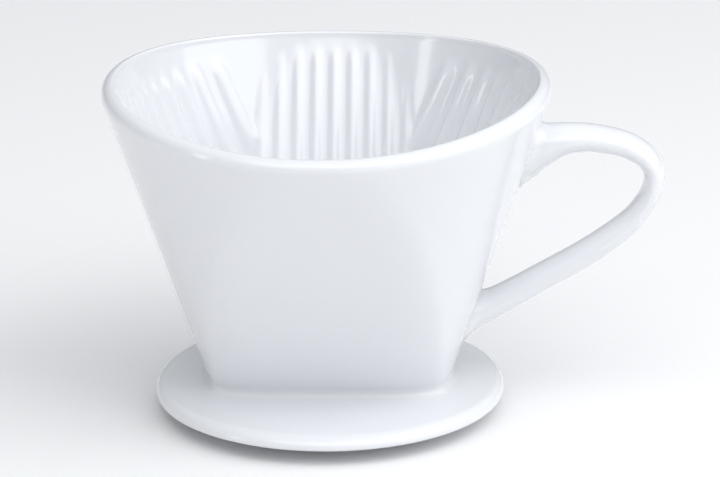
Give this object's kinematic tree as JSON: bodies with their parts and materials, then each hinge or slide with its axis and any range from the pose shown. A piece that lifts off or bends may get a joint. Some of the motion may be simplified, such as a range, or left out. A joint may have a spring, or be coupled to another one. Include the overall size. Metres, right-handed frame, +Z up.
{
  "type": "pour over dripper",
  "caption": "Glazed porcelain coffee dripper: a ribbed cone pinched by two flats, on a round flange with a locating ring, with a loop handle",
  "frame": {"origin": "on the drip axis, in the plane of the flange's underside, where the dripper rests on a mug's rim", "axes": "+Z up along the drip axis, +X towards the handle, +Y towards the back flat, so the object is mirrored about XZ"},
  "size_m": [0.1764, 0.1368, 0.1091],
  "materials": {
    "white_glaze": "glossy clear glaze over white porcelain, with a faint cool cast",
    "bare_porcelain": "unglazed, matt, slightly warm fired porcelain"
  },
  "bodies": {
    "root": {"cone_body": "white_glaze", "base_flange": "white_glaze", "locating_ring": "bare_porcelain", "handle": "white_glaze"}
  },
  "joints": []
}
